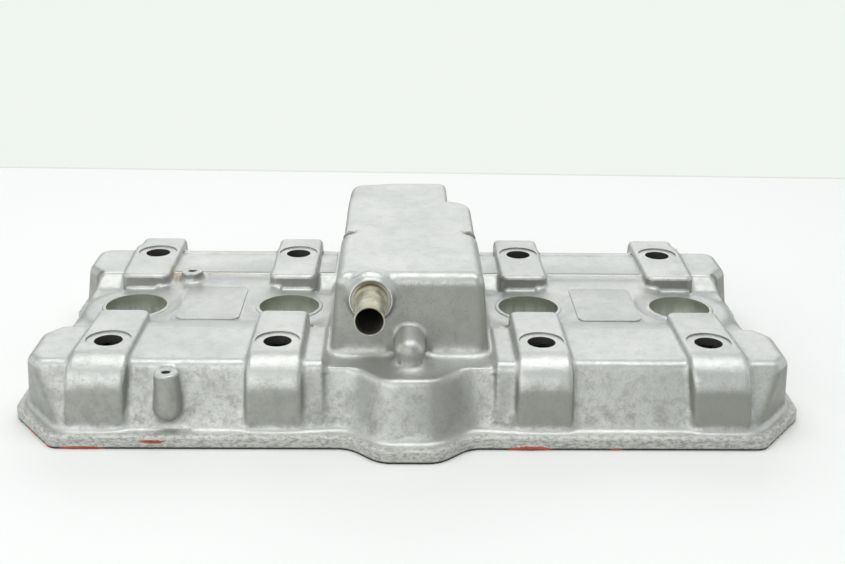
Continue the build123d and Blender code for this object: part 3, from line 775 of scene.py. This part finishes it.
def rounded(points):
    """The far left corner of the box, cast with a larger radius than the rest of its rear."""
    x, y, z = (points / MM).T
    return rise(-x, 8, 26) * rise(y, 56, 82) * rise(z, 45, 68)


def blended(points):
    """Where broad slopes run into each other: round the wells, and from saddle to dome."""
    x, y, z = (points / MM).T
    near = np.zeros(len(points))
    for plug_x, plug_y in PLUGS:
        away = np.hypot(x - plug_x, y - plug_y)
        near = np.maximum(near, rise(away, 17, 19) * (1 - rise(away, 31, 36)) * (np.abs(y) < 24))
    across = (np.abs(x) > 78.5) & (np.abs(x) < 132) & (np.abs(y) > 17) & (y > -47) & (y < 39.5)
    level = rise(z, 31.0, 31.6) * (1 - rise(z, 39.6, 40.2))
    return np.maximum(near, across) * level


def soften(mesh, free, rounds, in_corner, on_edge):
    """Each point moves toward its neighbours' mean, faster in corners than on edges.

    A corner is where dot(mean - point, normal) > 0, so where the mean lies outside.
    """
    points, edges = read_mesh(mesh)
    ends = np.concatenate([edges[:, 0], edges[:, 1]])
    others = np.concatenate([edges[:, 1], edges[:, 0]])
    total = len(points)
    count = np.bincount(ends, minlength=total)[:, None]
    for turn in range(rounds):
        if turn % 4 == 0:
            write_points(mesh, points)
            normals = read_normals(mesh)
        sums = [np.bincount(ends, weights=points[others, k], minlength=total) for k in range(3)]
        step = np.stack(sums, 1) / count - points
        hollow = np.einsum("ij,ij->i", step, normals) > 0
        points += step * (np.where(hollow, in_corner, on_edge) * free)[:, None]
    write_points(mesh, points)


# ---- where the skin is moved; points come and go in metres -----------------------------------
def slim_port(points):
    """Boss about the spigot drawn in toward its axis, by PORT_SHRINK at its face."""
    place = points / MM
    from_x, from_z = place[:, 0] - PORT[0], place[:, 2] - PORT[2]
    radius = np.hypot(from_x, from_z) + 1e-9
    ring = rise(radius, 8, 10) * (1 - rise(radius, 15.5, 18)) * rise(-place[:, 1], 66.7, 69.0)
    scale = 1 - PORT_SHRINK * ring / radius
    place[:, 0] = PORT[0] + from_x * scale
    place[:, 2] = PORT[2] + from_z * scale
    return place * MM


def step_in_box(points):
    """The soft front corners of the box end in a small step, sunk below the rear ones.

    Depth is STEP_DEPTH, fading forward over STEP_RUN and away from the 45 degree corner.
    """
    place = points / MM
    x, y, z = place.T
    ahead = rise(y, -STEP_RUN, -0.8) * (y < 0.2)
    corner = rise(np.abs(x), 24.5, 33) * rise(z, 60, 74)
    depth = STEP_DEPTH * ahead * corner
    inward = np.stack([-np.sign(x), np.zeros(len(x)), -np.ones(len(x))], 1) / np.sqrt(2)
    return (place + depth[:, None] * inward) * MM


def sealant_lumps(points):
    """Beads of sealant swell outward: by height * (1 - distance / size) round each centre."""
    place = points / MM
    for bead_x, bead_y, bead_z, long, tall in SEALANT:
        offset = (place - (bead_x, bead_y, bead_z)) / (long, 6.0, 1.4 * tall)
        swell = np.clip(1 - np.linalg.norm(offset, axis=1), 0, 1)
        ripple = 0.75 + 0.25 * np.sin(1.9 * place[:, 0]) * np.sin(0.8 * place[:, 0] + 1.0)
        on_cut_corner = bead_x < -165
        outward = np.array((bead_x, bead_y * 1.6, 0.0)) if on_cut_corner else np.array((0.0, -1.0, 0.0))
        push = 0.55 * tall * swell * ripple * (place[:, 2] < 6.8) * (place[:, 1] < -70)
        place = place + push[:, None] * outward / np.linalg.norm(outward)
    return place * MM


def level_ground(points):
    """Dome tops and saddles made flat again where pockets are cut and panels are laid."""
    place = points / MM
    x, y, z = np.abs(place[:, 0]), place[:, 1], place[:, 2]
    under_panel = (np.abs(x - PANEL_AT) < PANEL_X + 2.5) & (np.abs(y) < PANEL_Y + 2.5)
    under_panel &= (z > 36.3) & (z < 37.7)
    place[under_panel, 2] = SADDLE_Z
    for inner, outer in POCKET_X:
        over_pocket = (x > inner - 2) & (x < outer + 2) & (y > POCKET_Y[0] - 1.2) & (y < POCKET_Y[1] + 3)
        over_pocket &= (z > 38.0) & (z < DOME_Z)
        place[over_pocket, 2] = DOME_Z
    return place * MM


def copy_casting():
    """Merged copy of the solid cover, its machining filled, redrawn on an even grid."""
    welded = bmesh.new()
    welded.from_mesh(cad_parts["valve_cover"].data)
    bmesh.ops.remove_doubles(welded, verts=welded.verts, dist=1e-6)
    filled = machined(BOLT_FILL, PLUG_FILL, HOLE_FILL, PORT_FILL)
    welded.from_mesh(as_mesh("fill", filled + pad_tails()))
    mesh = bpy.data.meshes.new("cover_skin")
    welded.to_mesh(mesh)
    welded.free()
    skin = place_mesh("cover_skin", mesh)
    grid = skin.modifiers.new("grid", "REMESH")
    grid.mode, grid.voxel_size = "VOXEL", VOXEL * MM
    apply_modifiers(skin)
    return skin


def cast_skin():
    """The visible casting: solid cover softened as a cast part is, then machined again."""
    skin = copy_casting()
    mesh = skin.data
    points, _ = read_mesh(mesh)
    write_points(mesh, slim_port(points))
    soften(mesh, hold(points), rounds=12, in_corner=0.6, on_edge=0.2)
    soften(mesh, flared(points), rounds=40, in_corner=0.7, on_edge=0.0)
    soften(mesh, around_box(points), rounds=45, in_corner=0.7, on_edge=0.0)
    soften(mesh, rounded(points), rounds=100, in_corner=0.6, on_edge=0.6)
    soften(mesh, blended(points), rounds=50, in_corner=0.6, on_edge=0.6)
    points, _ = read_mesh(mesh)
    points[:, 2] = np.where(points[:, 2] < JOINT_FACE * MM, 0.0, points[:, 2])
    points = level_ground(sealant_lumps(step_in_box(points)))
    low, high = np.array(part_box("valve_cover"))
    write_points(mesh, np.clip(points, low, high))
    fewer = skin.modifiers.new("fewer", "DECIMATE")
    fewer.ratio = SKIN_TRIANGLES / (2 * len(mesh.polygons))
    apply_modifiers(skin)
    combine(skin, "UNION", raised())
    combine(skin, "DIFFERENCE", machined(BOLT_DRILL, PLUG_DRILL, HOLE_DRILL, PORT_DRILL) + pockets())
    mesh = skin.data
    mesh.polygons.foreach_set("use_smooth", np.ones(len(mesh.polygons), dtype=bool))
    mesh.set_sharp_from_angle(angle=np.radians(SHARP_ANGLE))
    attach(skin, "root")
    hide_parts("valve_cover")
    return skin


place_camera()
light_up()
lay_table()
cast = cast_finish()
dress(cast_skin(), cast)
dress(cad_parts["breather_spigot"], plated_finish())
dress(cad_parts["breather_baffle"], sheet_finish("baffle_steel", BAFFLE_BRIGHT, BAFFLE_DULL, 0.38))
dress(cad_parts["baffle_screws"], sheet_finish("screw_steel", SCREW_BRIGHT, SCREW_DULL, 0.34))
